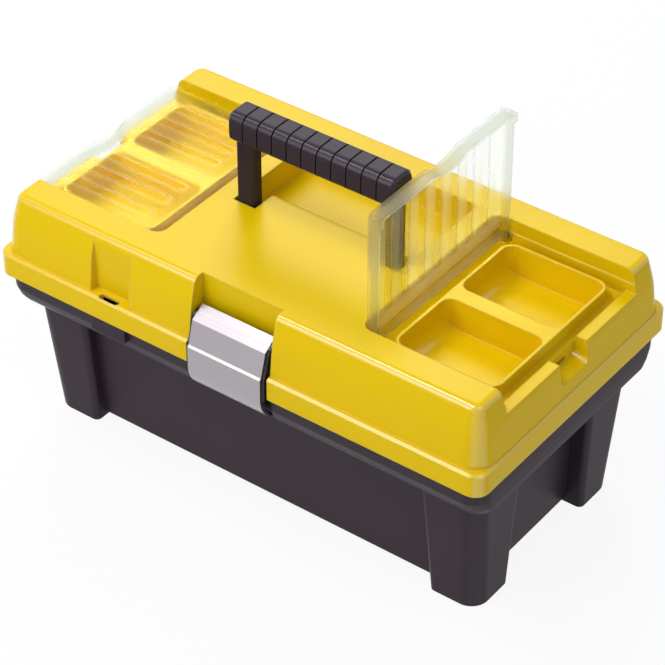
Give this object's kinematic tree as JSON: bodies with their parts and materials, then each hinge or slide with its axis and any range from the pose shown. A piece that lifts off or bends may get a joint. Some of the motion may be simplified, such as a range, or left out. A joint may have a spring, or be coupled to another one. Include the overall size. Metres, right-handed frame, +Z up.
{
  "type": "toolbox with tray",
  "caption": "Moulded toolbox with a lift-out tray, a hinged lid with clear-covered organiser wells at both ends, a folding ribbed handle and a metal front latch.",
  "frame": {"origin": "on the ground under the middle of the box, in the plane of the feet", "axes": "+X along the length to the right, +Y to the back hinges, +Z up"},
  "size_m": [0.415, 0.2384, 0.288],
  "materials": {
    "charcoal_plastic": "fine moulded grain",
    "yellow_plastic": "satin moulded",
    "clear_plastic": "milky clear moulded",
    "grip_plastic": "satin moulded",
    "aluminium": "satin anodised",
    "black_plastic": "satin moulded",
    "steel": "drawn"
  },
  "bodies": {
    "base": {"base_tub": "charcoal_plastic", "hinge_pin_left": "steel", "hinge_pin_right": "steel"},
    "lid": {"lid_shell": "yellow_plastic", "latch_pin": "steel", "cover_pins": "steel"},
    "cover_left": {"organiser_cover_left": "clear_plastic"},
    "cover_right": {"organiser_cover_right": "clear_plastic"},
    "handle": {"handle_bow": "charcoal_plastic", "handle_grip": "grip_plastic"},
    "latch": {"latch_plate": "aluminium", "latch_carrier": "black_plastic"},
    "tray": {"tray": "charcoal_plastic", "tray_divider": "charcoal_plastic", "tray_partitions": "charcoal_plastic"}
  },
  "joints": [
    {"name": "lid_hinge", "type": "hinge", "parent": "base", "child": "lid", "pos_m": [0, 0.1152, 0.132], "axis": [-1, 0, 0], "range_deg": [0, 105]},
    {"name": "handle_fold", "type": "hinge", "parent": "lid", "child": "handle", "pos_m": [0, -0.01, 0.188], "axis": [-1, 0, 0], "range_deg": [0, 90]},
    {"name": "latch_swing", "type": "hinge", "parent": "lid", "child": "latch", "pos_m": [0, -0.105, 0.167], "axis": [-1, 0, 0], "range_deg": [0, 100]},
    {"name": "cover_left_hinge", "type": "hinge", "parent": "lid", "child": "cover_left", "pos_m": [-0.096, 0, 0.183], "axis": [0, 1, 0], "range_deg": [0, 90]},
    {"name": "cover_right_hinge", "type": "hinge", "parent": "lid", "child": "cover_right", "pos_m": [0.096, 0, 0.183], "axis": [0, 1, 0], "range_deg": [0, 90]},
    {"name": "tray_lift", "type": "slide", "parent": "base", "child": "tray", "axis": [0, 0, 1], "range_m": [0, 0.04]}
  ]
}
